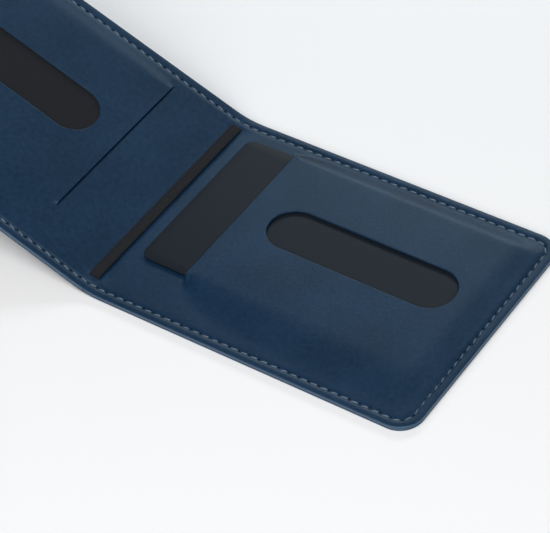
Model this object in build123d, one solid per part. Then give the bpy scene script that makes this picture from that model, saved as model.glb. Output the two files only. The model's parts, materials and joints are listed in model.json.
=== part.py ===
from build123d import *
import os

# A folding leather wallet, lying open on its card side with its left side raised.
# Millimetres, +Z up. The origin is the middle of the card side's flat underside.
# +X runs across the fold towards the card side's free edge, +Y runs along the fold.
# Every piece is laid out with the wallet opened flat, and the spine and the left side
# are then folded up about the two fold lines, half of rest_fold at each.

# Spine and fold
spine_width = 8.0  # between the two fold lines, and so the closed thickness
rest_fold = 22.0  # degrees that the left side stands up from flat
fold_gap = 0.15  # each leather's setback from its fold line
corner_radius = 7.0  # the two rounded corners of each free edge

# Leather and lining
outer_thickness = 0.9
liner_thickness = 0.8
lining_thickness = 0.3
lining_gap = 0.4  # around the lining inside its pocket

# The card
card_length = 85.6
card_width = 53.98
card_thickness = 0.76
card_corner = 3.18
card_gap = 0.15  # above and below the card
card_showing = 15.75  # the length that stands out of the slit
card_travel = 4.0  # how much further it goes into the pocket
card_from_fold = 2.65  # from the fold line to the card's showing end

# The pocket, and the leather around it
pocket_side_gap = 1.0  # on each side of the card
pocket_end_gap = 1.0  # beyond the card when it is all the way in
far_border = 6.55  # from the pocket to the far long edge
near_border = 16.97  # from the pocket to the near long edge
end_border = 9.05  # from the pocket to the free edge
pocket_slope = 2.6  # width of the slope at the pocket's long sides
pocket_end_slope = 5.2  # the same at the pocket's end, towards the stitches
slope_foot_share = 0.6  # how much of a slope lies outside the raised leather's flat top
empty_pocket_space = 0.55  # height of the left side's pocket
slit_width = 0.5  # the left side's slit, where the pocket is empty

# The thumb slot
slot_from_slit = 8.5
slot_from_pocket_end = 6.45
slot_width = 15.4
slot_corner = 7.2
slot_above_middle = 7.6  # from the middle of the panel's height

# Stitching
stitch_inset = 2.6  # from the edge of the leather to the thread
stitch_pitch = 3.2
stitch_length = 2.3
stitch_width = 0.55
stitch_proud = 0.15  # above the liner
stitch_slant = 12.0  # degrees from the line of stitches
stitch_fold_gap = 0.4  # from a leather's bevel to the first stitch

# Cash strap
strap_thickness = 0.6
strap_gap = 0.1  # above the liner
strap_side_leather = 0.35  # the liner's flat top on each side of the strap
strap_from_edge = 3.9  # from the long edge to the strap's turned-down end
strap_slit_gap = 0.1  # around the strap's end in the liner

# Worked out
liner_top = outer_thickness + liner_thickness
pocket_half_width = card_width / 2 + pocket_side_gap
pocket_depth = card_length - card_showing + card_travel + pocket_end_gap
pocket_middle = (near_border - far_border) / 2
panel_height = near_border + 2 * pocket_half_width + far_border
panel_length = card_from_fold + card_showing + pocket_depth + end_border - fold_gap
free_edge_x = panel_length / 2
card_fold_x = -panel_length / 2 - fold_gap
spine_x = card_fold_x - spine_width / 2
left_fold_x = card_fold_x - spine_width
pocket_end_x = free_edge_x - end_border
slit_x = pocket_end_x - pocket_depth
slot_length = pocket_depth - slot_from_slit - slot_from_pocket_end
card_bottom = liner_top + card_gap
card_pocket_space = card_bottom + card_thickness + card_gap - outer_thickness
strap_width = spine_width - 2 * (fold_gap + liner_top + strap_side_leather)


def fold_up(shape, folds):
    """Turns a flat shape up about the left fold line and then the card side's, as far as it has folds."""
    turn = rest_fold / 2
    if folds == 2:
        shape = shape.rotate(Axis((left_fold_x, 0, 0), (0, 1, 0)), turn)
    if folds >= 1:
        shape = shape.rotate(Axis((card_fold_x, 0, 0), (0, 1, 0)), turn)
    return shape


def mirrored(shape):
    """The same shape on the left side, mirrored about the middle of the spine."""
    return mirror(shape, about=Plane((spine_x, 0, 0), z_dir=(1, 0, 0)))


def block(x_low, x_high, y_low, y_high, z_low, z_high):
    """A box between two corners."""
    size = (x_high - x_low, y_high - y_low, z_high - z_low)
    return Pos(x_low, y_low, z_low) * Box(*size, align=(Align.MIN, Align.MIN, Align.MIN))


def bevel_cutter(fold_x):
    """Cuts a leather's end at 45 degrees, so that two of them close like a mitre at a right angle."""
    start = fold_x + fold_gap
    reach = liner_top + 1
    outline = Polyline(
        (start - 1, -1),
        (start + reach, reach),
        (start - reach, reach),
        (start - reach, -1),
        close=True,
    )
    face = Plane.XZ * make_face(outline)
    return extrude(face, amount=panel_height, both=True)


def panel_sheet(z_low, z_high):
    """A card-side leather: square at the fold, rounded at the free edge, bevelled at the fold."""
    outline = Rectangle(panel_length, panel_height)
    free_corners = outline.vertices().sort_by(Axis.X)[-2:]
    outline = fillet(free_corners, corner_radius)
    sheet = Pos(0, 0, z_low) * extrude(outline, amount=z_high - z_low)
    return sheet - bevel_cutter(card_fold_x)


def spine_sheet(z_low, z_high):
    """A spine leather between the fold lines, bevelled at both."""
    half = spine_width / 2 - fold_gap
    sheet = block(spine_x - half, spine_x + half, -panel_height / 2, panel_height / 2, z_low, z_high)
    left_cutter = bevel_cutter(left_fold_x)
    return sheet - left_cutter - mirrored(left_cutter)


def raised_pocket(space):
    """The leather over a pocket of this height: a low mound with sloping far, near and end sides."""
    top = outer_thickness + space + liner_thickness
    base_half = pocket_half_width + pocket_slope
    top_half = base_half - slope_foot_share * pocket_slope
    base_end = pocket_end_x + pocket_end_slope
    top_end = base_end - slope_foot_share * pocket_end_slope
    base = Plane((0, 0, liner_top)) * face_between(slit_x, base_end, base_half)
    crown = Plane((0, 0, top)) * face_between(slit_x, top_end, top_half)
    return loft([base, crown])


def face_between(x_low, x_high, half_width):
    """A rectangle about the pocket's middle line."""
    middle = Pos((x_low + x_high) / 2, pocket_middle)
    return middle * Rectangle(x_high - x_low, 2 * half_width)


def thumb_slot(height):
    """The long slot that a thumb pushes the card through."""
    middle_x = slit_x + slot_from_slit + slot_length / 2
    outline = RectangleRounded(slot_length, slot_width, slot_corner)
    return Pos(middle_x, slot_above_middle) * extrude(outline, amount=height)


def pocketed_liner(space):
    """The liner of one side, with its raised pocket, its slit and its thumb slot."""
    leather = panel_sheet(outer_thickness, liner_top) + raised_pocket(space)
    pocket_low = pocket_middle - pocket_half_width
    pocket_high = pocket_middle + pocket_half_width
    roof = outer_thickness + space
    hollow = block(slit_x, pocket_end_x, pocket_low, pocket_high, outer_thickness, roof)
    return leather - hollow - thumb_slot(roof + 2 * liner_thickness)


def liner_card_side():
    """The card side's liner: its pocket holds the card, so its mouth stands above the leather beside it."""
    return pocketed_liner(card_pocket_space)


def liner_left_side():
    """The left side's liner: its empty pocket lies low, and its slit is a plain cut."""
    pocket_low = pocket_middle - pocket_half_width
    pocket_high = pocket_middle + pocket_half_width
    roof = outer_thickness + empty_pocket_space + 2 * liner_thickness
    slit = block(slit_x, slit_x + slit_width, pocket_low, pocket_high, outer_thickness, roof)
    return mirrored(pocketed_liner(empty_pocket_space) - slit)


def liner_spine():
    """The spine's liner, with a slit at each end for the cash strap."""
    leather = spine_sheet(outer_thickness, liner_top)
    for side in (-1, 1):
        leather -= strap_end(side, strap_slit_gap)
    return leather


def strap_end(side, margin):
    """The strap's turned-down end at one long edge, grown by a margin."""
    end_y = panel_height / 2 - strap_from_edge
    half = strap_width / 2 + margin
    inner = end_y - strap_thickness - margin
    outer = end_y + margin
    low, high = sorted((side * inner, side * outer))
    top = liner_top + strap_gap + strap_thickness
    return block(spine_x - half, spine_x + half, low, high, outer_thickness, top)


def cash_strap():
    """A narrow elastic along the spine, with both ends turned down through the liner."""
    end_y = panel_height / 2 - strap_from_edge
    low = liner_top + strap_gap
    half = strap_width / 2
    band = block(spine_x - half, spine_x + half, -end_y, end_y, low, low + strap_thickness)
    return band + strap_end(-1, 0) + strap_end(1, 0)


def pocket_lining():
    """The fabric that backs the pocket, glued to the outer leather."""
    half = pocket_half_width - lining_gap
    face = face_between(slit_x + lining_gap, pocket_end_x - lining_gap, half)
    return Pos(0, 0, outer_thickness) * extrude(face, amount=lining_thickness)


def blank_card():
    """A blank card of standard size, partly in the pocket."""
    middle_x = slit_x - card_showing + card_length / 2
    outline = RectangleRounded(card_length, card_width, card_corner)
    return Pos(middle_x, pocket_middle, card_bottom) * extrude(outline, amount=card_thickness)


def stitch(x, y, heading):
    """One slanted stitch, from the underside of the outer leather to just above the liner."""
    height = liner_top + stitch_proud
    bar = Box(stitch_length, stitch_width, height, align=(Align.CENTER, Align.CENTER, Align.MIN))
    return Pos(x, y, 0) * Rot(0, 0, heading + stitch_slant) * bar


def panel_thread():
    """The card side's stitches: along both long edges and round the free edge in one row."""
    row_y = panel_height / 2 - stitch_inset
    row_x = free_edge_x - stitch_inset
    start_x = card_fold_x + fold_gap + liner_top + stitch_fold_gap
    path = FilletPolyline(
        (start_x, row_y),
        (row_x, row_y),
        (row_x, -row_y),
        (start_x, -row_y),
        radius=corner_radius - stitch_inset,
    )
    count = round(path.length / stitch_pitch)
    stitches = []
    for number in range(count):
        share = (number + 0.5) / count
        place = path.position_at(share)
        run = path.tangent_at(share)
        heading = Vector(1, 0, 0).get_signed_angle(run, Vector(0, 0, 1))
        stitches.append(stitch(place.X, place.Y, heading))
    return stitches


def spine_thread():
    """The stitches that cross the spine: one at each long edge, since the bevels leave no more room."""
    row_y = panel_height / 2 - stitch_inset
    return [stitch(spine_x, row_y, 0), stitch(spine_x, -row_y, 180)]


# Each piece with the number of fold lines between it and the card side.
pieces = {
    "outer_card_side": (panel_sheet(0, outer_thickness), 0),
    "outer_spine": (spine_sheet(0, outer_thickness), 1),
    "outer_left_side": (mirrored(panel_sheet(0, outer_thickness)), 2),
    "liner_card_side": (liner_card_side(), 0),
    "liner_spine": (liner_spine(), 1),
    "liner_left_side": (liner_left_side(), 2),
    "pocket_lining_card_side": (pocket_lining(), 0),
    "pocket_lining_left_side": (mirrored(pocket_lining()), 2),
    "thread_card_side": (Compound(children=panel_thread()), 0),
    "thread_spine": (Compound(children=spine_thread()), 1),
    "thread_left_side": (Compound(children=[mirrored(bar) for bar in panel_thread()]), 2),
    "cash_strap": (cash_strap(), 1),
    "blank_card": (blank_card(), 0),
}

os.makedirs("parts", exist_ok=True)
for name, (flat_piece, folds) in pieces.items():
    piece = fold_up(flat_piece, folds)
    piece.label = name
    export_step(piece, f"parts/{name}.step")
    solids = piece.solids()
    print(name, "solids", len(solids), "volume", round(sum(solid.volume for solid in solids), 1))
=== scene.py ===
# %% [markdown]
# # A folding leather wallet
#
# The wallet is two leathers sewn back to back: a smooth outer leather and an inner liner with
# a card slit and a long thumb slot. It folds across the middle, and a narrow elastic along
# the fold holds banknotes. This file dresses the CAD frame of that wallet. The frame already
# says where everything is and how it moves, so the first cell loads it and keeps its box.

import json
import math

import bmesh
import bpy
import numpy as np
from mathutils import Matrix, Vector


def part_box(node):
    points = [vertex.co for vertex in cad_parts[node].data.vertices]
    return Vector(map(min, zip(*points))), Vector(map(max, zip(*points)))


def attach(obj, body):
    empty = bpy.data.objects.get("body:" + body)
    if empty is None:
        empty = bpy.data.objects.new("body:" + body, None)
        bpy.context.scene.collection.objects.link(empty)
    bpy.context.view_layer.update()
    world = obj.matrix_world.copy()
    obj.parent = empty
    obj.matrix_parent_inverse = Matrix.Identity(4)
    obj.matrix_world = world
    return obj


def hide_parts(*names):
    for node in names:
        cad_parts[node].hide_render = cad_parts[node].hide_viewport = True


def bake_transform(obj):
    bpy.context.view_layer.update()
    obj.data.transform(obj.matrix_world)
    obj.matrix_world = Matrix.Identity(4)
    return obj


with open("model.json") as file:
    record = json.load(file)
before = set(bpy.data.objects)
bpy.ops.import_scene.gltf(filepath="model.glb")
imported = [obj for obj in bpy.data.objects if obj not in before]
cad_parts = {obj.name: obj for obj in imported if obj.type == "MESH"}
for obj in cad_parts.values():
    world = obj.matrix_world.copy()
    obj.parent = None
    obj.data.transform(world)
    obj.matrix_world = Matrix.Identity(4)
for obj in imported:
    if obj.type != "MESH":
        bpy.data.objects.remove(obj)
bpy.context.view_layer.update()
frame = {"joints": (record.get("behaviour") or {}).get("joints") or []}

# %% [markdown]
# ## The flat cut
#
# A leather worker cuts the pieces flat and only then folds them. The same idea keeps this
# scene simple: every piece is first described on the flat leather by two numbers, s and y,
# and by a height above the underside. s runs across the fold, from the middle of the spine,
# positive towards the card side. y runs along the fold. The sizes come from the frame's boxes.

# %% Sizes from the frame
MM = 0.001
joints = {joint["name"]: joint for joint in frame["joints"]}
card_fold = np.array(joints["card_side_fold"]["pos_m"])
left_fold = np.array(joints["left_side_fold"]["pos_m"])
spine_width = float(np.linalg.norm(card_fold - left_fold))
spine_x = card_fold[0] - spine_width / 2

_, outer_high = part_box("outer_card_side")
card_low, card_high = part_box("blank_card")
lining_low, lining_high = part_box("pocket_lining_card_side")

half_length = outer_high.x - spine_x
half_height = outer_high.y
outer_thickness = outer_high.z
corner_radius = 7.0 * MM
lining_gap = 0.4 * MM
slit_s = lining_low.x - lining_gap - spine_x
slit_low = lining_low.y - lining_gap
slit_high = lining_high.y + lining_gap
pocket_depth = lining_high.x + lining_gap - spine_x - slit_s
pocket_middle = (slit_low + slit_high) / 2
print("half length, half height, slit at, in millimetres:",
      [round(1000 * value, 2) for value in (half_length, half_height, slit_s)])

# %% [markdown]
# ## Folding the flat cut
#
# On the table the card side lies flat and the left side stands up a little. Leather doesn't
# crease there, it bends in a soft curve. The curve is worked out as a running turn. The lean
# grows smoothly from nothing to its full value over the fold, and adding up small steps in the
# leaning direction gives the place of each point. A height above the underside is then
# measured square to the leather.

# %% Fold the flat cut
fold_start = 8.0 * MM
fold_end = -6.0 * MM
spine_lean = math.atan2(left_fold[2], card_fold[0] - left_fold[0])
full_lean = 2.0 * spine_lean
table_cells = 399


def smooth(value):
    """Goes from 0 to 1 as value does, level at both ends: three squares less two cubes."""
    value = np.clip(value, 0.0, 1.0)
    return value * value * (3.0 - 2.0 * value)


def lean_at(s):
    """The leather's lean in radians: nothing on the card side, all of it past the fold."""
    return full_lean * smooth((fold_start - s) / (fold_start - fold_end))


table_s = np.linspace(fold_start, fold_end, table_cells + 1)
table_lean = lean_at((table_s[1:] + table_s[:-1]) / 2)
table_step = (fold_start - fold_end) / table_cells
table_x = np.concatenate([[0.0], np.cumsum(np.cos(table_lean))]) * table_step
table_z = np.concatenate([[0.0], np.cumsum(np.sin(table_lean))]) * table_step


def lay(s, y, height):
    """Flat cut to space: the summed steps of the fold, a straight run beyond it, and the height
    along the leather's normal."""
    s, y, height = np.broadcast_arrays(*(np.asarray(part, float) for part in (s, y, height)))
    inside = np.clip(s, fold_end, fold_start)
    before = np.maximum(s - fold_start, 0.0)
    past = np.maximum(fold_end - s, 0.0)
    lean = lean_at(s)
    x = spine_x + fold_start + before - np.interp(-inside, -table_s, table_x) - past * np.cos(lean)
    z = np.interp(-inside, -table_s, table_z) + past * np.sin(lean)
    return np.stack([x + height * np.sin(lean), y, z + height * np.cos(lean)], -1)


def lay_point(s, y, height):
    """One laid point as a plain tuple."""
    return tuple(float(value) for value in lay(s, y, height))


print("free end of the left side stands", round(1000 * lay_point(-half_length, 0, 0)[2], 1), "mm up")

# %% [markdown]
# ## How high the leather lies
#
# The liner isn't flat. It lifts over the card in its pocket, runs down to the seam in a soft
# slope, sinks a little under the pull of the thread, and rolls over at its cut edge. Each of
# those is one short height rule on the flat cut, and they are simply added up. A distance from
# the cut edge is needed by several of them, and the outline's round corners make it a rounded
# box's distance.

# %% Heights on the flat cut
liner_thickness = 0.62 * MM
border_top = outer_thickness + 0.8 * MM
stitch_inset = 2.6 * MM
groove_depth = 0.28 * MM
groove_width = 0.65 * MM
outline_rounding = 0.25 * MM
outline_press = 0.10 * MM
outline_press_reach = 0.6 * MM
cut_rounding = 0.2 * MM

slit_half = (slit_high - slit_low) / 2
slit_opening = 0.16 * MM
slot_width = 15.4 * MM
slot_radius = slot_width / 2
slot_middle_y = 6.6 * MM
slot_low_s = slit_s + 9.2 * MM
slot_high_s = slit_s + pocket_depth - 5.75 * MM
strap_end_y = half_height - 3.9 * MM


def slit_gap(y):
    """Half the slit's opening: full along it and closed at its ends, by 1 less the eighth power."""
    off = np.abs(y - pocket_middle) / slit_half
    return slit_opening * np.sqrt(np.clip(1.0 - off**8, 0.0, 1.0))


def edge_distance(s, y):
    """How far a point is inside the outline: a box's distance with its two free corners rounded."""
    across = np.abs(s) - (half_length - corner_radius)
    along = np.abs(y) - (half_height - corner_radius)
    outside = np.hypot(np.maximum(across, 0.0), np.maximum(along, 0.0))
    from_corner = corner_radius - outside - np.minimum(np.maximum(across, along), 0.0)
    return np.where(across > 0.0, from_corner, half_height - np.abs(y))


def slot_distance(s, y):
    """How far a point is outside the thumb slot: from the slot's middle line, less half its width."""
    across = np.abs(s) - np.clip(np.abs(s), slot_low_s + slot_radius, slot_high_s - slot_radius)
    return np.hypot(across, y - slot_middle_y) - slot_radius


def slit_distance(s, y):
    """How far a point is from the slit's lips."""
    past_end = np.maximum(np.abs(y - pocket_middle) - slit_half, 0.0)
    return np.hypot(np.abs(np.abs(s) - slit_s) - slit_gap(y), past_end)


def rolled(distance, radius):
    """The drop of a rounded edge: a quarter circle within one radius of the cut, nothing further in."""
    into = np.clip(distance, 0.0, radius)
    return radius - np.sqrt(np.maximum(radius**2 - (radius - into) ** 2, 0.0))


def groove(s, y):
    """A soft channel pulled down by the thread: a bell curve across the row of stitches."""
    return np.exp(-(((edge_distance(s, y) - stitch_inset) / groove_width) ** 2))


def outline_drop(s, y):
    """The drop at the outline: its rounded edge, and the leather pressed thinner beside it."""
    distance = edge_distance(s, y)
    return rolled(distance, outline_rounding) + outline_press * np.exp(-distance / outline_press_reach)


def cut_drop(s, y):
    """The drop of the rounded lips of the slot and the slit."""
    return rolled(slot_distance(s, y), cut_rounding) + rolled(slit_distance(s, y), cut_rounding)


def underside_height(s, y):
    """The outer leather's underside: flat, with the thread's groove cut up into it."""
    return groove_depth * groove(s, y) + rolled(edge_distance(s, y), outline_rounding)


print("leathers together", round(1000 * border_top, 2), "mm thick at the seam")

# %% Heights over the pocket
card_raise = 1.65 * MM
card_drop = 0.0065
empty_raise = 0.45 * MM
arch_raise = 0.12 * MM
hand_raise = 0.045 * MM
hand_start = 6.0 * MM
crease_raise = 0.16 * MM
strap_swell_raise = 0.3 * MM
slope_at_slit = 1.0 * MM
far_slope, near_slope = 4.6 * MM, 14.5 * MM
far_opening, near_opening = 5.0 * MM, 13.0 * MM
card_shoulder = 1.1 * MM
end_slope_start = 3.0 * MM
end_slope = 10.3 * MM


def pocket_share(past_slit, y):
    """1 over the pocket and 0 beyond it. The slopes at its long sides widen away from the slit, a little
    on the far side, where the seam is close, and much more on the near side."""
    far_side = y > pocket_middle
    opening = 1.0 - np.exp(-np.maximum(past_slit, 0.0) / np.where(far_side, far_opening, near_opening))
    flat_half = slit_half - slope_at_slit - card_shoulder * opening
    width = slope_at_slit + np.where(far_side, far_slope, near_slope) * opening
    sides = 1.0 - smooth((np.abs(y - pocket_middle) - flat_half) / width)
    end = 1.0 - smooth((past_slit - pocket_depth + end_slope_start) / end_slope)
    return sides * end


def slit_crease(past_slit, y):
    """The little pucker where the slit ends: a narrow ridge that runs on from it and dies away."""
    off_line, width = 0.3 * MM, 0.8 * MM
    peak, length = 2.0 * MM, 3.0 * MM
    ridge = np.exp(-(((y - slit_high - off_line) / width) ** 2))
    return ridge * np.exp(-(((past_slit - peak) / length) ** 2))


def arch(past_slit, y):
    """The loose leather over the pocket arches a little between its two long seams."""
    middle, half_span = 5.0 * MM, 32.0 * MM
    slit_run, end_run = 10.0 * MM, 16.0 * MM
    across = 1.0 - ((y - middle) / half_span) ** 2
    room = smooth(past_slit / slit_run) * smooth((pocket_depth - past_slit) / end_run)
    return np.clip(across, 0.0, 1.0) * room


def hand(s, y):
    """The slow unevenness of leather that has been handled: two crossed waves, fading at the seams."""
    seam_strip, fade = 3.0 * MM, 7.0 * MM
    first = np.sin(s / (11.0 * MM) + 1.3) * np.sin(y / (9.0 * MM) + 0.4)
    second = np.sin(s / (17.0 * MM) + y / (13.0 * MM))
    return (first + 0.7 * second) * smooth((edge_distance(s, y) - seam_strip) / fade)


def strap_swell(s, y):
    """The liner swells where the strap's two ends go under it."""
    across, along = 3.2 * MM, 1.6 * MM
    return np.exp(-((s / across) ** 2) - (((np.abs(y) - strap_end_y) / along) ** 2))


def liner_height(s, y, over_pocket):
    """The liner's top: border height, plus the raised pocket, less the thread's groove and the rounded
    edges. over_pocket is 1 past the slit and 0 between the slit and the spine."""
    past_slit = np.abs(s) - slit_s
    amount = np.where(s > 0, card_raise - card_drop * np.maximum(past_slit, 0.0), empty_raise)
    height = border_top + amount * pocket_share(past_slit, y) * over_pocket
    height = height + arch_raise * (s > 0) * arch(past_slit, y) * over_pocket
    height = height + hand_raise * hand(s, y) * smooth(past_slit / hand_start) * over_pocket
    height = height + crease_raise * slit_crease(past_slit, y) * (s > 0)
    height = height - groove_depth * groove(s, y) - outline_drop(s, y) - cut_drop(s, y)
    return height + strap_swell_raise * strap_swell(s, y)


print("liner over the card", round(1000 * (border_top + card_raise), 2), "mm above the table")

# %% [markdown]
# ## From arrays to meshes
#
# Every surface below is a set of flat points (s, y), a height for each, and four-cornered
# faces. One helper lays the points, fills a mesh with whole arrays, and stores the flat cut
# in millimetres as the UV map, so that grain and weave follow the leather round the fold.

# %% Mesh helpers
def spaced(*stops):
    """Even steps between stops: place, step, place, step, place, and so on, each place kept exactly."""
    parts = []
    for start, step, end in zip(stops[0:-2:2], stops[1:-1:2], stops[2::2]):
        count = max(1, round(abs(end - start) / step))
        parts.append(np.linspace(start, end, count, endpoint=False))
    return np.concatenate(parts + [[stops[-1]]])


def grid_faces(rows, columns, wrap=False):
    """The four corners of each cell of a grid of rows by columns; wrap joins the last column to the first."""
    index = np.arange(rows * columns).reshape(rows, columns)
    across = np.roll(index, -1, axis=1) if wrap else index[:, 1:]
    near = index if wrap else index[:, :-1]
    return np.stack([near[:-1], across[:-1], across[1:], near[1:]], -1).reshape(-1, 4)


def make_piece(name, points, faces, materials, flat=None, second=None, sharp=None):
    """A smooth mesh object from arrays of points and faces. The flat cut becomes its UV map, second
    marks the faces that take the second material, and an edge between two sharp points stays crisp."""
    mesh = bpy.data.meshes.new(name)
    mesh.vertices.add(len(points))
    mesh.vertices.foreach_set("co", points.astype(np.float32).ravel())
    mesh.loops.add(faces.size)
    mesh.loops.foreach_set("vertex_index", faces.astype(np.int32).ravel())
    mesh.polygons.add(len(faces))
    mesh.polygons.foreach_set("loop_start", np.arange(0, faces.size, faces.shape[1], dtype=np.int32))
    mesh.update(calc_edges=True)
    mesh.polygons.foreach_set("use_smooth", np.ones(len(faces), bool))
    if flat is not None:
        layer = mesh.uv_layers.new(name="cut")
        layer.data.foreach_set("uv", (1000 * flat[faces.ravel()]).astype(np.float32).ravel())
    for material in materials:
        mesh.materials.append(material)
    if second is not None:
        mesh.polygons.foreach_set("material_index", second.astype(np.int32))
    if sharp is not None:
        ends = np.empty(2 * len(mesh.edges), np.int32)
        mesh.edges.foreach_get("vertices", ends)
        hard = sharp[ends.reshape(-1, 2)].all(1)
        mesh.attributes.new("sharp_edge", "BOOLEAN", "EDGE").data.foreach_set("value", hard)
    mesh.update()
    piece = bpy.data.objects.new(name, mesh)
    bpy.context.scene.collection.objects.link(piece)
    return piece


def join_parts(parts):
    """Several (flat, height, faces) parts as one, with points that coincide to a micron made one point."""
    micron = 0.001 * MM
    starts = np.cumsum([0] + [len(flat) for flat, _, _ in parts[:-1]])
    flat = np.concatenate([part[0] for part in parts])
    height = np.concatenate([part[1] for part in parts])
    faces = np.concatenate([part[2] + start for part, start in zip(parts, starts)])
    rounded = np.round(flat / micron).astype(np.int64)
    _, first, same = np.unique(rounded, axis=0, return_index=True, return_inverse=True)
    return flat[first], height[first], same.ravel()[faces]


print("a grid of 3 by 4 points has", len(grid_faces(3, 4)), "faces, and", len(grid_faces(3, 4, wrap=True)),
      "when it closes on itself")

# %% A closed leather
paint_strip = 0.2 * MM


def make_leather(name, flat, top, bottom, faces, leather):
    """A closed leather: the same flat faces at the top's height and, turned over, at the bottom's,
    joined by a rim in edge paint, partly lightened as painted highlight, along every edge that
    belongs to one face only. The edge on the seam with the other half stays crisp."""
    count = len(flat)
    ends = np.stack([faces, np.roll(faces, -1, axis=1)], -1).reshape(-1, 2)
    forward = ends[:, 0].astype(np.int64) * count + ends[:, 1]
    backward = ends[:, 1].astype(np.int64) * count + ends[:, 0]
    rim = ends[~np.isin(forward, backward)]
    rim_faces = np.stack([rim[:, 1], rim[:, 0], rim[:, 0] + count, rim[:, 1] + count], -1)
    both = np.concatenate([faces, faces[:, ::-1] + count])
    near_cut = edge_distance(flat[:, 0], flat[:, 1])[both % count].max(1) < paint_strip
    painted = np.concatenate([near_cut, np.ones(len(rim_faces), bool)])
    points = np.concatenate([lay(flat[:, 0], flat[:, 1], top), lay(flat[:, 0], flat[:, 1], bottom)])
    all_faces = np.concatenate([both, rim_faces])
    seam = flat[np.argmin(flat[:, 0] * np.sign(flat[:, 0].mean())), 0]
    on_seam = np.tile(flat[:, 0] == seam, 2)
    return make_piece(name, points, all_faces, [leather, edge_paint], np.tile(flat, (2, 1)), painted, on_seam)


print("edge paint comes", 1000 * paint_strip, "mm over the cut edge")

# %% [markdown]
# ## Leather, paint, thread and cloth
#
# The finishes are procedural. Leather gets its look from three scales at once: a slow drift
# of colour, a fine pebbled grain that catches the light, and a few stray specks of dust. The
# patterns read the flat cut's UV map in millimetres, so a scale of 1 is a millimetre.

# %% Node helpers
def new_material(name):
    """A new node material, with its tree and its shader."""
    material = bpy.data.materials.new(name)
    material.use_nodes = True
    tree = material.node_tree
    shader = tree.nodes["Principled BSDF"]
    return material, tree, shader


def node(tree, kind, inputs=None, **settings):
    """A node with its settings and with its inputs set or linked."""
    made = tree.nodes.new(kind)
    for name, value in settings.items():
        setattr(made, name, value)
    for key, value in (inputs or {}).items():
        if isinstance(value, bpy.types.NodeSocket):
            tree.links.new(value, made.inputs[key])
        else:
            made.inputs[key].default_value = value
    return made


def cut_map(tree):
    """The flat cut in millimetres."""
    return node(tree, "ShaderNodeUVMap", uv_map="cut").outputs["UV"]


def blend_colours(tree, share, first, second):
    """A colour between two, by a share from 0 to 1."""
    mix = node(tree, "ShaderNodeMix", data_type="RGBA")
    tree.links.new(share, mix.inputs["Factor"])
    for socket, colour in zip((mix.inputs["A"], mix.inputs["B"]), (first, second)):
        if isinstance(colour, bpy.types.NodeSocket):
            tree.links.new(colour, socket)
        else:
            socket.default_value = (*colour, 1.0)
    return mix.outputs["Result"]


def ranged(tree, value, from_low, from_high, to_low, to_high):
    """A value carried from one range to another and held at the ends."""
    inputs = {"Value": value, "From Min": from_low, "From Max": from_high,
              "To Min": to_low, "To Max": to_high}
    return node(tree, "ShaderNodeMapRange", inputs).outputs["Result"]


print("node helpers are ready; materials so far:", len(bpy.data.materials))

# %% Leather
dust_grey = (0.16, 0.20, 0.24)


def leather_finish(name, deep, light, roughness):
    """Smooth waxed leather: drifting colour, fine pebble grain, rare dust specks."""
    material, tree, shader = new_material(name)
    cut = cut_map(tree)
    drift = node(tree, "ShaderNodeTexNoise", {"Vector": cut, "Scale": 0.045, "Detail": 3.0})
    mottle = node(tree, "ShaderNodeTexNoise", {"Vector": cut, "Scale": 0.7, "Detail": 4.0})
    pebble = node(tree, "ShaderNodeTexVoronoi", {"Vector": cut, "Scale": 2.2, "Randomness": 1.0},
                  feature="SMOOTH_F1")
    pores = node(tree, "ShaderNodeTexNoise", {"Vector": cut, "Scale": 5.0, "Detail": 3.0})
    slow = ranged(tree, drift.outputs["Fac"], 0.3, 0.7, -0.1, 0.8)
    fast = ranged(tree, mottle.outputs["Fac"], 0.3, 0.7, -0.25, 0.5)
    share = node(tree, "ShaderNodeMath", {0: slow, 1: fast}, operation="ADD", use_clamp=True)
    colour = blend_colours(tree, share.outputs[0], deep, light)
    speck = node(tree, "ShaderNodeTexVoronoi", {"Vector": cut, "Scale": 0.16, "Randomness": 1.0})
    dust = ranged(tree, speck.outputs["Distance"], 0.018, 0.03, 0.45, 0.0)
    dusty = blend_colours(tree, dust, colour, dust_grey)
    tree.links.new(dusty, shader.inputs["Base Color"])
    rough = ranged(tree, mottle.outputs["Fac"], 0.25, 0.75, roughness - 0.05, roughness + 0.06)
    tree.links.new(rough, shader.inputs["Roughness"])
    grain = node(tree, "ShaderNodeBump", {"Height": pebble.outputs["Distance"], "Strength": 0.22,
                                          "Distance": 0.10 * MM})
    fine = node(tree, "ShaderNodeBump", {"Height": pores.outputs["Fac"], "Strength": 0.34,
                                         "Distance": 0.07 * MM, "Normal": grain.outputs["Normal"]})
    tree.links.new(fine.outputs["Normal"], shader.inputs["Normal"])
    shader.inputs["Specular IOR Level"].default_value = 0.36
    shader.inputs["Specular Tint"].default_value = (0.72, 0.93, 1.0, 1.0)
    return material


def edge_paint_and_highlight_finish():
    """Glossy edge paint, brushed a little unevenly. Its colour, lighter than the leather, is partly a painted
    highlight of the lit rim.
    """
    material, tree, shader = new_material("edge_paint")
    where = node(tree, "ShaderNodeTexCoord").outputs["Object"]
    ripple = node(tree, "ShaderNodeTexNoise", {"Vector": where, "Scale": 900.0, "Detail": 3.0})
    # Edge paint colour: the lighter end is partly a painted highlight of the lit, glossy rim.
    colour = blend_colours(tree, ripple.outputs["Fac"], (0.010, 0.036, 0.080), (0.035, 0.075, 0.130))
    tree.links.new(colour, shader.inputs["Base Color"])
    bump = node(tree, "ShaderNodeBump", {"Height": ripple.outputs["Fac"], "Strength": 0.15,
                                         "Distance": 0.1 * MM})
    tree.links.new(bump.outputs["Normal"], shader.inputs["Normal"])
    shader.inputs["Roughness"].default_value = 0.28
    shader.inputs["Specular IOR Level"].default_value = 0.7
    shader.inputs["Specular Tint"].default_value = (0.6, 0.85, 1.0, 1.0)
    return material


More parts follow.
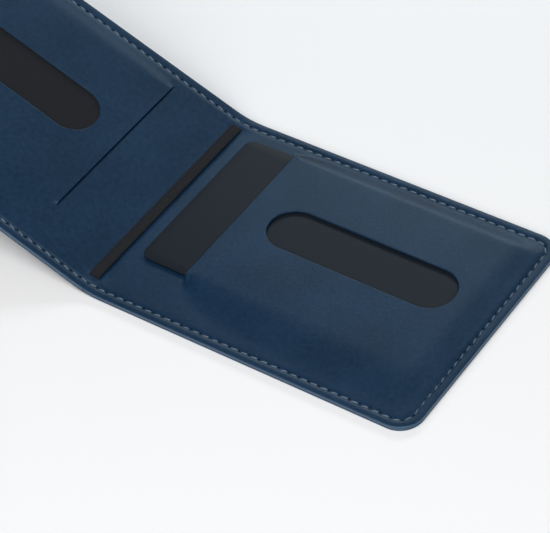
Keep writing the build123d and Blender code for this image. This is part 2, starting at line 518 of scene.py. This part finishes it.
liner_leather = leather_finish("liner_leather", (0.0008, 0.0150, 0.043), (0.0045, 0.0245, 0.063), 0.42)
outer_leather = leather_finish("outer_leather", (0.0008, 0.0140, 0.040), (0.0042, 0.0230, 0.060), 0.42)
edge_paint = edge_paint_and_highlight_finish()
print("leathers and edge paint are ready")

# %% Thread, elastic, lining and card
def thread_finish():
    """Waxed twisted thread: slanting plies across each stitch's own UV map."""
    material, tree, shader = new_material("waxed_thread")
    cut = cut_map(tree)
    plies = node(tree, "ShaderNodeTexWave", {"Vector": cut, "Scale": 0.9, "Distortion": 0.6},
                 wave_type="BANDS", bands_direction="DIAGONAL")
    # Dark in the grooves between plies, light on their crowns: partly painted shade and highlight of the
    # twist over the thread's own colour.
    colour = blend_colours(tree, plies.outputs["Fac"], (0.03, 0.055, 0.09), (0.21, 0.28, 0.36))
    tree.links.new(colour, shader.inputs["Base Color"])
    bump = node(tree, "ShaderNodeBump", {"Height": plies.outputs["Fac"], "Strength": 0.5,
                                         "Distance": 0.06 * MM})
    tree.links.new(bump.outputs["Normal"], shader.inputs["Normal"])
    shader.inputs["Roughness"].default_value = 0.3
    shader.inputs["Specular IOR Level"].default_value = 0.7
    return material


def needle_hole_shade_finish():
    """Painted shade of a needle hole: near black, with a little uneven wax in it."""
    material, tree, shader = new_material("needle_hole")
    where = node(tree, "ShaderNodeTexCoord").outputs["Object"]
    wax = node(tree, "ShaderNodeTexNoise", {"Vector": where, "Scale": 1500.0, "Detail": 2.0})
    colour = blend_colours(tree, wax.outputs["Fac"], (0.0005, 0.002, 0.006), (0.002, 0.008, 0.020))
    tree.links.new(colour, shader.inputs["Base Color"])
    shader.inputs["Roughness"].default_value = 0.8
    shader.inputs["Specular IOR Level"].default_value = 0.1
    return material


def woven_finish(name, dark, light, thread_width, roughness):
    """Plain weave: two sets of bands at right angles, read from the flat cut, one over the other."""
    material, tree, shader = new_material(name)
    cut = cut_map(tree)
    scale = 0.5 / thread_width
    warp = node(tree, "ShaderNodeTexWave", {"Vector": cut, "Scale": scale}, bands_direction="X")
    weft = node(tree, "ShaderNodeTexWave", {"Vector": cut, "Scale": scale}, bands_direction="Y")
    cloth = node(tree, "ShaderNodeMath", {0: warp.outputs["Fac"], 1: weft.outputs["Fac"]},
                 operation="MULTIPLY")
    colour = blend_colours(tree, cloth.outputs[0], dark, light)
    tree.links.new(colour, shader.inputs["Base Color"])
    bump = node(tree, "ShaderNodeBump", {"Height": cloth.outputs[0], "Strength": 0.6,
                                         "Distance": 0.1 * MM})
    tree.links.new(bump.outputs["Normal"], shader.inputs["Normal"])
    shader.inputs["Roughness"].default_value = roughness
    shader.inputs["Specular IOR Level"].default_value = 0.2
    shader.inputs["Sheen Weight"].default_value = 0.04
    return material


def card_finish():
    """Matte black card stock with a faint sandy tooth."""
    material, tree, shader = new_material("matte_card")
    where = node(tree, "ShaderNodeTexCoord").outputs["Object"]
    tooth = node(tree, "ShaderNodeTexNoise", {"Vector": where, "Scale": 4000.0, "Detail": 2.0})
    drift = node(tree, "ShaderNodeTexNoise", {"Vector": where, "Scale": 40.0, "Detail": 2.0})
    colour = blend_colours(tree, drift.outputs["Fac"], (0.004, 0.008, 0.014), (0.007, 0.011, 0.017))
    tree.links.new(colour, shader.inputs["Base Color"])
    bump = node(tree, "ShaderNodeBump", {"Height": tooth.outputs["Fac"], "Strength": 0.08,
                                         "Distance": 0.05 * MM})
    tree.links.new(bump.outputs["Normal"], shader.inputs["Normal"])
    shader.inputs["Roughness"].default_value = 0.5
    shader.inputs["Specular IOR Level"].default_value = 0.22
    return material


thread_wax = thread_finish()
needle_hole = needle_hole_shade_finish()
elastic_weave = woven_finish("black_elastic", (0.003, 0.004, 0.006), (0.020, 0.023, 0.030), 0.35, 0.7)
lining_weave = woven_finish("black_lining", (0.005, 0.006, 0.009), (0.022, 0.025, 0.032), 0.22, 0.8)
matte_card = card_finish()
print("thread, weaves and card are ready")

# %% [markdown]
# ## The outer leather
#
# The outer leather is a plain sheet with two round corners at each free edge. As a surface it
# is a grid: across the fold in steps of s, and along the fold by a share of the width that the
# outline allows at that s. At a round corner the allowed half width falls like a circle's arc.
# It is made as two halves that meet in the middle of the spine, because each fold line is one
# joint and a sheet can bend across one joint only. The left half reaches a hair past the middle,
# just under the other, so that no line shows.

# %% Outer leather
overlap = 0.4 * MM
tuck = 0.02 * MM
leather_gap = 0.02 * MM
fine_beside_fold = 10.0 * MM
cells_along_fold = 49


def half_width(s):
    """Half the outline's width at s: full, then a quarter circle down at the free corner."""
    into_corner = np.clip(np.abs(s) - (half_length - corner_radius), 0.0, corner_radius)
    return half_height - corner_radius + np.sqrt(corner_radius**2 - into_corner**2)


def tucked(s, side):
    """How far the left half ducks under the other where the two overlap."""
    return tuck * smooth((s + 2 * overlap) / overlap) * (side < 0)


def from_cut():
    """Distances from a cut edge, close together where it is rounded and over the stitches."""
    return np.concatenate([np.array([0.0, 0.03, 0.08, 0.15, 0.25, 0.45, 0.75]) * MM,
                           np.linspace(1.1, 4.1, 11) * MM])


def across_steps(side, step):
    """Steps of s over one half, eased into the round corner and close together at the free edge."""
    start = 0.0 if side > 0 else -overlap
    straight = spaced(start, step / 2, fine_beside_fold, step, half_length - corner_radius)
    turn = corner_radius - from_cut()[::-1]
    early = np.linspace(0.0, turn[0], 5)[1:-1]
    return side * np.concatenate([straight, half_length - corner_radius + np.concatenate([early, turn])])


def outer_half(name, side):
    """One half of the outer leather."""
    s = across_steps(side, 1.2 * MM)
    depth = from_cut() / half_height
    middle = np.linspace(-1.0 + depth[-1], 1.0 - depth[-1], cells_along_fold + 1)[1:-1]
    share = np.concatenate([-1.0 + depth, middle, (1.0 - depth)[::-1]])
    flat_s = np.repeat(s, len(share))
    flat_y = (half_width(s)[:, None] * share[None, :]).ravel()
    bottom = underside_height(flat_s, flat_y) + tucked(flat_s, side)
    top = outer_thickness - leather_gap - tucked(flat_s, side)
    faces = grid_faces(len(s), len(share))
    if side > 0:
        faces = faces[:, ::-1]
    return make_leather(name, np.stack([flat_s, flat_y], -1), top, bottom, faces, outer_leather)


outer_card = outer_half("outer_leather_card_half", 1)
outer_left = outer_half("outer_leather_left_half", -1)
print("outer leather faces", len(outer_card.data.polygons) + len(outer_left.data.polygons))

# %% [markdown]
# ## The liner, its slit and its thumb slot
#
# The liner has the same outline, with two cuts in it. A grid with holes punched out would have
# jagged edges, so the grid is bent to fit them. Around the thumb slot it is a ring grid: the
# outer ring is the outline together with the slit line, the inner ring is the slot, and the
# rings between are straight mixes of the two. Each outer point is paired with the nearest point
# of the slot. Between the slit and the spine it is a plain grid that shares its points with the
# ring. The slit is where the two parts aren't joined: the ring side rides up over the card.

# %% The liner's flat points
ring_step = 1.0 * MM
corner_cells = 15


def along_steps():
    """Steps of y from edge to edge, close at the seams and at the slit's two ends."""
    fine, coarse, near_end = 0.3 * MM, 1.1 * MM, 2.0 * MM
    edge = half_height - from_cut()
    inner = spaced(-edge[-1], coarse, slit_low - near_end, fine, slit_low, fine, slit_low + near_end,
                   coarse, slit_high - near_end, fine, slit_high, fine, edge[-1])
    return np.concatenate([-edge[:-1], inner, edge[:-1][::-1]])


def window_ring(y_steps):
    """The outer ring, clockwise: far edge, corner, free edge, corner, near edge, back along the slit line."""
    corner_s, corner_y = half_length - corner_radius, half_height - corner_radius
    turn = np.linspace(0.0, math.pi / 2, corner_cells + 1)[:-1]
    edge_s = spaced(slit_s, ring_step, corner_s)[:-1]
    free_y = spaced(corner_y, ring_step, -corner_y)[:-1]
    far = np.stack([edge_s, np.full(len(edge_s), half_height)], -1)
    far_turn = np.stack([np.sin(turn), np.cos(turn)], -1) * corner_radius + [corner_s, corner_y]
    free = np.stack([np.full(len(free_y), half_length), free_y], -1)
    near_turn = np.stack([np.cos(turn), -np.sin(turn)], -1) * corner_radius + [corner_s, -corner_y]
    near_s = spaced(corner_s, ring_step, slit_s)[:-1]
    near = np.stack([near_s, np.full(len(near_s), -half_height)], -1)
    slit = np.stack([np.full(len(y_steps) - 1, slit_s), y_steps[:-1]], -1)
    return np.concatenate([far, far_turn, free, near_turn, near, slit])


def slot_ring(outer):
    """The slot's point nearest to each outer point: out from the slot's middle line by half its width."""
    along_slot = np.clip(outer[:, 0], slot_low_s + slot_radius, slot_high_s - slot_radius)
    centre = np.stack([along_slot, np.full(len(outer), slot_middle_y)], -1)
    away = outer - centre
    return centre + slot_radius * away / np.linalg.norm(away, axis=1, keepdims=True)


print("the ring round the slot has", len(window_ring(along_steps())), "points")

# %% Liner halves
slot_rows = 6
rows_between = 21
lip_rows = 5
lip_run = 2.0 * MM


def window_part(side, y_steps):
    """The ring grid round the slot: close rows at the slot's edge and at the outline, even ones between.
    Its outermost rows follow the opened lip of the slit."""
    outer = window_ring(y_steps)
    inner = slot_ring(outer)
    length = np.linalg.norm(outer - inner, axis=1)
    first = from_cut()[:slot_rows, None] / length
    last = 1.0 - from_cut()[::-1][:, None] / length
    middle = first[-1] + (last[0] - first[-1]) * np.linspace(0.0, 1.0, rows_between + 1)[1:-1, None]
    mix = np.concatenate([first, middle, last])
    ring = inner[None] + (outer - inner)[None] * mix[..., None]
    on_slit = np.isclose(outer[:, 0], slit_s)
    ring[:, on_slit, 0] += slit_gap(outer[on_slit, 1]) * mix[:, on_slit] ** 8
    s, y = side * ring[..., 0].ravel(), ring[..., 1].ravel()
    return np.stack([s, y], -1), liner_height(s, y, 1.0), grid_faces(len(mix), len(outer), wrap=True)


def spine_part(side, y_steps):
    """The plain grid between the slit line and the middle of the spine."""
    start = 0.0 if side > 0 else -overlap
    steps = np.concatenate([spaced(start, 0.6 * MM, 12 * MM, 1.0 * MM, slit_s - 0.6 * MM),
                            slit_s - from_cut()[:lip_rows][::-1]])
    s = np.repeat(steps, len(y_steps)).reshape(len(steps), -1)
    lip = smooth((steps - slit_s + lip_run) / lip_run)[:, None]
    s = side * (s - slit_gap(y_steps)[None, :] * lip).ravel()
    y = np.tile(y_steps, len(steps))
    height = liner_height(s, y, 0.0) - tucked(s, side)
    return np.stack([s, y], -1), height, grid_faces(len(steps), len(y_steps))[:, ::-1]


def liner_half(name, side):
    """One half of the liner: both parts joined, turned over on the left side so that it still faces up.
    The underside doesn't follow the rounded lips of the cuts, so that it stays clear of the card."""
    y_steps = along_steps()
    flat, top, faces = join_parts([window_part(side, y_steps), spine_part(side, y_steps)])
    bottom = np.maximum(top + cut_drop(flat[:, 0], flat[:, 1]) - liner_thickness, outer_thickness)
    if side < 0:
        faces = faces[:, ::-1]
    return make_leather(name, flat, top, bottom, faces, liner_leather)


liner_card = liner_half("liner_card_half", 1)
liner_left = liner_half("liner_left_half", -1)
print("liner faces", len(liner_card.data.polygons) + len(liner_left.data.polygons))

# %% [markdown]
# ## The stitching
#
# The two leathers are held by one row of thread that follows the cut edge. Each stitch is a
# short tube that rises out of one needle hole, lies over the leather and dives into the next,
# turned a little from the line of the row, as saddle stitching is. The row is a path along the
# far edge, round the free edge and back, cut into equal steps. All stitches of a half are one
# array: stitch by step along it by step around it.

# %% The row of stitches
stitch_pitch = 3.2 * MM
stitch_length = 2.45 * MM
stitch_slant = math.radians(9.0)
uneven_turn = math.radians(2.0)
uneven_length = 0.03
uneven_lift = 0.02 * MM
row_seed = 7
corner_stitch_steps = 24
short_way_on = 0.3 * MM


def row_points():
    """The row's middle line over one half: straight, round, straight, round, straight."""
    radius = corner_radius - stitch_inset
    corner_s, corner_y = half_length - corner_radius, half_height - corner_radius
    row_y = half_height - stitch_inset
    turn = np.linspace(0.0, math.pi / 2, corner_stitch_steps)
    far = np.stack([corner_s + radius * np.sin(turn), corner_y + radius * np.cos(turn)], -1)
    near = np.stack([corner_s + radius * np.cos(turn), -corner_y - radius * np.sin(turn)], -1)
    return np.concatenate([[[0.0, row_y]], far, near, [[0.0, -row_y]]])


def stitch_places():
    """The stitches of one half, evenly along the row: their middles, the way each one points, and three
    draws for each that make its turn, length and lift a little uneven."""
    line = row_points()
    reach = np.concatenate([[0.0], np.cumsum(np.linalg.norm(np.diff(line, axis=0), axis=1))])
    count = round(reach[-1] / stitch_pitch)
    middle = (np.arange(count) + 0.5) * reach[-1] / count
    centre = np.stack([np.interp(middle, reach, line[:, axis]) for axis in (0, 1)], -1)
    ahead = np.stack([np.interp(middle + short_way_on, reach, line[:, axis]) for axis in (0, 1)], -1)
    uneven = np.random.default_rng(row_seed).normal(0.0, 1.0, (3, count))
    heading = np.arctan2(ahead[:, 1] - centre[:, 1], ahead[:, 0] - centre[:, 0]) + stitch_slant
    heading = heading + uneven_turn * uneven[0]
    return centre, np.stack([np.cos(heading), np.sin(heading)], -1), uneven


def square_to(direction):
    """A direction turned by a quarter turn."""
    return direction[..., ::-1] * np.array([-1.0, 1.0])


print("the row runs", round(1000 * (half_height - row_points()[0, 1]), 2), "mm inside the cut edge")

# %% Stitches
thread_radius = 0.16 * MM
thread_taper = 0.35
stitch_arch = 0.30 * MM
stitch_sink = 0.26 * MM
lowest_thread = 0.02 * MM
thread_map_length = 1.4 * MM
thread_map_round = 0.3 * MM
along_stitch = np.linspace(-1.0, 1.0, 11)
round_thread = np.linspace(0.0, 2 * math.pi, 8, endpoint=False)
# The needle holes are dark ovals of painted shade, laid a hair above the leather.
hole_length = 0.34 * MM
hole_width = 0.20 * MM
hole_lift = 0.025 * MM


def stitch_tubes(side, centre, direction, uneven):
    """Every stitch as a tube along a low arch, first above and then below. The height along a stitch is
    the arch times one less the square of the way along it, less what is sunk in the groove."""
    ahead = direction[:, None, None, :]
    half = stitch_length / 2 * (1 + uneven_length * uneven[1])
    along = half[:, None, None, None] * along_stitch[None, :, None, None]
    plump = (thread_radius * (1.0 - thread_taper * along_stitch**4))[None, :, None, None]
    out = plump * np.cos(round_thread)[None, None, :, None]
    flat = centre[:, None, None, :] + along * ahead + out * square_to(ahead)
    s, y = side * flat[..., 0], flat[..., 1]
    arched = stitch_arch * (1.0 - along_stitch**2) - stitch_sink
    lift = (arched[None, :] + uneven_lift * uneven[2][:, None])[..., None]
    lift = lift + plump[..., 0] * np.sin(round_thread)
    top = liner_height(side * centre[:, 0], centre[:, 1], 1.0)[:, None, None]
    under = underside_height(side * centre[:, 0], centre[:, 1])[:, None, None]
    points = np.concatenate([lay(s, y, top + lift), lay(s, y, np.maximum(under - lift, lowest_thread))])

    tube = grid_faces(len(along_stitch), len(round_thread), wrap=True)
    block = len(along_stitch) * len(round_thread)
    above = (tube[None] + block * np.arange(len(centre))[:, None, None]).reshape(-1, 4)
    below = above + block * len(centre)
    faces = np.concatenate([above[:, ::-side], below[:, ::side]])
    own = np.stack(np.broadcast_arrays(along_stitch[:, None] * thread_map_length,
                                       round_thread[None, :] * thread_map_round), -1)
    return points.reshape(-1, 3), faces, np.tile(own.reshape(-1, 2), (2 * len(centre), 1))


def needle_hole_shades(side, centre, direction):
    """A dark oval of painted shade at both ends of every stitch, where the needle hole is, a hair above
    the leather. Each is a ring grid: one ring shrunk to a point, and one of full size."""
    place = np.concatenate([centre + share * stitch_pitch * direction for share in (-0.5, 0.5)])
    oval = np.stack([np.cos(round_thread) * hole_length, np.sin(round_thread) * hole_width], -1)
    long_way = np.tile(direction, (2, 1))[:, None, None, :]
    outline = oval[None, None, :, :1] * long_way + oval[None, None, :, 1:] * square_to(long_way)
    rings = place[:, None, None] + np.array([0.0, 1.0])[:, None, None] * outline
    s, y = side * rings[..., 0], rings[..., 1]
    points = lay(s, y, liner_height(s, y, 1.0) + hole_lift).reshape(-1, 3)
    block = 2 * len(round_thread)
    faces = grid_faces(2, len(round_thread), wrap=True)[None] + block * np.arange(len(place))[:, None, None]
    return points, faces.reshape(-1, 4)[:, ::-side], np.stack([s, y], -1).reshape(-1, 2)


def stitch_half(name, side):
    """The thread of one half, with the painted shade of its needle holes as the second material."""
    centre, direction, uneven = stitch_places()
    points, faces, flat = stitch_tubes(side, centre, direction, uneven)
    hole_shade_points, hole_shade_faces, hole_shade_flat = needle_hole_shades(side, centre, direction)
    is_hole_shade = np.concatenate([np.zeros(len(faces), bool), np.ones(len(hole_shade_faces), bool)])
    return make_piece(name, np.concatenate([points, hole_shade_points]),
                      np.concatenate([faces, hole_shade_faces + len(points)]), [thread_wax, needle_hole],
                      np.concatenate([flat, hole_shade_flat]), is_hole_shade)


thread_card = stitch_half("thread_card_half", 1)
thread_left = stitch_half("thread_left_half", -1)
print("thread faces", len(thread_card.data.polygons) + len(thread_left.data.polygons))

# %% [markdown]
# ## Linings, card and cash strap
#
# The pockets are backed by a thin woven lining, glued down flat, which shows through the empty
# side's thumb slot. The card is a plain blank with rounded corners: its outline carried round a
# small edge profile. The cash strap is a narrow ribbed elastic: a ribbed cross-section carried
# along the spine, which dives through the liner at both ends.

# %% Linings
lining_top = outer_thickness + 0.3 * MM
lining_thickness = 0.25 * MM
lining_step = 2.0 * MM


def pocket_lining(name, side):
    """A flat rectangle of cloth behind one pocket, laid on the outer leather."""
    s = spaced(slit_s + lining_gap, lining_step, slit_s + pocket_depth - lining_gap)
    y = spaced(lining_low.y, lining_step, lining_high.y)
    flat_s, flat_y = side * np.repeat(s, len(y)), np.tile(y, len(s))
    faces = grid_faces(len(s), len(y))
    if side < 0:
        faces = faces[:, ::-1]
    flat = np.stack([flat_s, flat_y], -1)
    piece = make_piece(name, lay(flat_s, flat_y, lining_top), faces, [lining_weave], flat)
    wall = piece.modifiers.new("wall", "SOLIDIFY")
    wall.thickness = lining_thickness
    wall.offset = -1.0
    return piece


lining_card = pocket_lining("card_pocket_lining", 1)
lining_left = pocket_lining("left_pocket_lining", -1)

# %% The card
card_corner = 3.18 * MM
card_edge = 0.12 * MM
card_flat_inset = 3.0 * MM
corner_points = 10
ring_points = 4 * corner_points


def card_ring(inset):
    """The card's rounded outline, shrunk by an inset: four quarter circles joined up."""
    turn = np.linspace(0.0, math.pi / 2, corner_points)
    middle = np.array([(card_low.x + card_high.x) / 2, (card_low.y + card_high.y) / 2])
    half = np.array([card_high.x - card_low.x, card_high.y - card_low.y]) / 2 - card_corner
    radius = card_corner - inset
    start = np.array([0.0, 1.0, 2.0, 3.0]) * math.pi / 2
    angle = (start[:, None] + turn[None, :]).ravel()
    corner = np.repeat(np.array([[1, 1], [-1, 1], [-1, -1], [1, -1]]), len(turn), axis=0)
    return middle + corner * half + radius * np.stack([np.cos(angle), np.sin(angle)], -1)


def make_card():
    """Rings from the middle of the bottom, out, round the edge's small radius and in again over the top.
    The card drops a little towards its hidden end, as the pocket over it does."""
    quarter = np.linspace(-math.pi / 2, 0.0, 4)
    inset = [card_flat_inset] + list(card_edge * (1.0 - np.cos(quarter)))
    low = [card_low.z] + list(card_low.z + card_edge * (1.0 + np.sin(quarter)))
    high = [card_high.z - (value - card_low.z) for value in low][::-1]
    rings = [np.c_[card_ring(value), np.full(ring_points, z)]
             for value, z in zip(inset + inset[::-1], low + high)]
    points = np.concatenate(rings)
    points[:, 2] -= card_drop * (points[:, 0] - card_low.x)
    card = make_piece("plain_card", points, grid_faces(len(rings), ring_points, wrap=True), [matte_card])
    work = bmesh.new()
    work.from_mesh(card.data)
    work.verts.ensure_lookup_table()
    work.faces.new(work.verts[:ring_points][::-1])
    work.faces.new(work.verts[-ring_points:])
    bmesh.ops.recalc_face_normals(work, faces=work.faces)
    work.to_mesh(card.data)
    work.free()
    return card


plain_card = make_card()
print("card", [round(1000 * value, 2) for value in (card_high - card_low)], "mm")

# %% Cash strap
strap_half_width = 1.8 * MM
strap_thickness = 0.6 * MM
strap_gap = 0.15 * MM
strap_ribs = 5
rib_height = 0.07 * MM
dive_depth, dive_run = 1.5 * MM, 1.8 * MM
stand_height, stand_run = 0.25 * MM, 9.0 * MM
pick_pitch = 0.7 * MM
pick_share = 0.1
strap_girth = 8.0 * MM


def signed_power(value, power):
    """A power that keeps the sign, so that a circle's sine and cosine give a rounded box."""
    return np.sign(value) * np.abs(value) ** power


def cash_strap():
    """A ribbed band: across it the top is a row of soft ribs; along it the height dips at both ends."""
    round_ = np.linspace(0.0, 2 * math.pi, 48, endpoint=False)
    across = strap_half_width * signed_power(np.cos(round_), 0.6)
    rib = rib_height * np.cos(2 * math.pi * strap_ribs * (across / strap_half_width + 1.0) / 2.0)
    thick = strap_thickness / 2 * signed_power(np.sin(round_), 0.5) + rib * np.sin(round_)
    y = spaced(-strap_end_y, 0.12 * MM, strap_end_y)
    from_end = strap_end_y - np.abs(y)
    stand = stand_height * smooth(from_end / stand_run)
    dive = dive_depth * (1.0 - smooth(from_end / dive_run))
    middle = border_top + strap_gap + strap_thickness / 2 + stand - dive
    pick = pick_share * np.cos(2 * math.pi * y / pick_pitch)
    height = middle[:, None] + thick[None, :] * (1.0 + pick[:, None])
    flat_s = np.tile(across, (len(y), 1))
    flat_y = np.tile(y[:, None], (1, len(round_)))
    points = lay(flat_s, flat_y, height).reshape(-1, 3)
    girth = np.tile(round_ / (2 * math.pi) * strap_girth, (len(y), 1))
    flat = np.stack([girth.ravel(), flat_y.ravel()], -1)
    faces = grid_faces(len(y), len(round_), wrap=True)
    return make_piece("ribbed_cash_strap", points, faces, [elastic_weave], flat)


strap = cash_strap()
print("strap length on the spine", round(2000 * strap_end_y, 1), "mm")

# %% [markdown]
# ## Riding the frame
#
# Each piece stands for the CAD nodes it covers, and those nodes are hidden. The lining, the card
# and the strap ride on the bodies of the nodes they replace. The leather and the thread cross a
# fold line; their halves stay where the flat cut laid them and follow no body.

# %% Ride and replace
half_pieces = {
    "card_side": [(outer_card, ("outer_card_side", "outer_spine"), "outer_leather"),
                  (liner_card, ("liner_card_side", "liner_spine"), "liner_leather"),
                  (thread_card, ("thread_card_side", "thread_spine"), "thread")],
    "left_side": [(outer_left, ("outer_left_side",), "outer_leather"),
                  (liner_left, ("liner_left_side",), "liner_leather"),
                  (thread_left, ("thread_left_side",), "thread")],
}
for body, rows in half_pieces.items():
    for piece, nodes, slot in rows:
        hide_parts(*nodes)
        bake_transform(piece)

whole_pieces = [(lining_card, "card_side", "pocket_lining_card_side", "pocket_fabric"),
                (lining_left, "left_side", "pocket_lining_left_side", "pocket_fabric"),
                (plain_card, "card", "blank_card", "card_plastic"),
                (strap, "spine", "cash_strap", "elastic")]
for piece, body, replaced, slot in whole_pieces:
    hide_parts(replaced)
    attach(piece, body)

# %% [markdown]
# ## Floor, light and camera
#
# The wallet lies on a plain white table in soft studio light. Three soft boxes light it: a big
# one on the viewer's side, which does most of the work, a smaller one above, and a weak low one
# on the far side, which draws the leather's satin sheen. The room is white and fills the rest.
# The camera looks from the near right, half way down, through a long lens, and leans a few degrees.

# %% Floor and light
floor_half = 3.0
floor_gap = 0.02 * MM
room_white = (0.97, 0.985, 1.0, 1.0)
room_strength = 0.17


def make_floor():
    """A wide white table top, just under the leather."""
    corners = floor_half * np.array([[-1, -1], [1, -1], [1, 1], [-1, 1]], float)
    points = np.c_[corners, np.full(4, -floor_gap)]
    material, _, shader = new_material("white_table")
    shader.inputs["Base Color"].default_value = (0.93, 0.935, 0.945, 1.0)
    shader.inputs["Roughness"].default_value = 0.65
    shader.inputs["Specular IOR Level"].default_value = 0.2
    return make_piece("table_top", points, np.array([[0, 1, 2, 3]]), [material])


def area_light(name, place, target, size, power, colour):
    """A rectangular soft light at a place, facing a target."""
    data = bpy.data.lights.new(name, "AREA")
    data.shape = "RECTANGLE"
    data.size, data.size_y = size
    data.energy = power
    data.color = colour
    lamp = bpy.data.objects.new(name, data)
    bpy.context.scene.collection.objects.link(lamp)
    lamp.location = place
    lamp.rotation_euler = (Vector(target) - Vector(place)).to_track_quat("-Z", "Y").to_euler()


floor = make_floor()
world = bpy.data.worlds.new("white_room")
world.use_nodes = True
background = world.node_tree.nodes["Background"]
background.inputs["Color"].default_value = room_white
background.inputs["Strength"].default_value = room_strength
bpy.context.scene.world = world
bpy.context.scene.view_settings.view_transform = "Standard"

middle_of_view = (0.0, 0.0, 0.0)
area_light("near_softbox", (0.25, -0.6, 0.7), middle_of_view, (1.3, 1.0), 9.1, (1.0, 0.985, 0.97))
area_light("top_softbox", (0.15, -0.35, 0.95), middle_of_view, (0.8, 0.8), 2.7, (1.0, 1.0, 1.0))
area_light("far_softbox", (-0.17, 0.43, 0.27), (0.03, 0.03, 0.0), (0.36, 0.14), 0.78, (0.82, 0.93, 1.0))

# %% Camera
camera_azimuth = math.radians(39.7)
camera_elevation = math.radians(44.9)
camera_roll = math.radians(-7.55)
camera_distance = 0.7225
camera_lens = 172.3
target_past_slit = 19.3 * MM
target_y = -6.4 * MM


def make_camera():
    """Looks at a point on the card side, from an azimuth and an elevation, rolled about its own axis."""
    data = bpy.data.cameras.new("camera")
    data.lens = camera_lens
    data.sensor_width = 36.0
    data.clip_start, data.clip_end = 0.01, 20.0
    camera = bpy.data.objects.new("camera", data)
    bpy.context.scene.collection.objects.link(camera)
    back = np.array([math.sin(camera_azimuth) * math.cos(camera_elevation),
                     -math.cos(camera_azimuth) * math.cos(camera_elevation),
                     math.sin(camera_elevation)])
    target = np.array([spine_x + slit_s + target_past_slit, target_y, border_top])
    turn = Matrix.Rotation(camera_azimuth, 4, "Z") @ Matrix.Rotation(math.pi / 2 - camera_elevation, 4, "X")
    turn = turn @ Matrix.Rotation(camera_roll, 4, "Z")
    camera.matrix_world = Matrix.Translation(target + camera_distance * back) @ turn
    bpy.context.scene.camera = camera
    return camera


make_camera()
bpy.context.view_layer.update()
print("camera at", [round(value, 4) for value in bpy.context.scene.camera.matrix_world.translation])
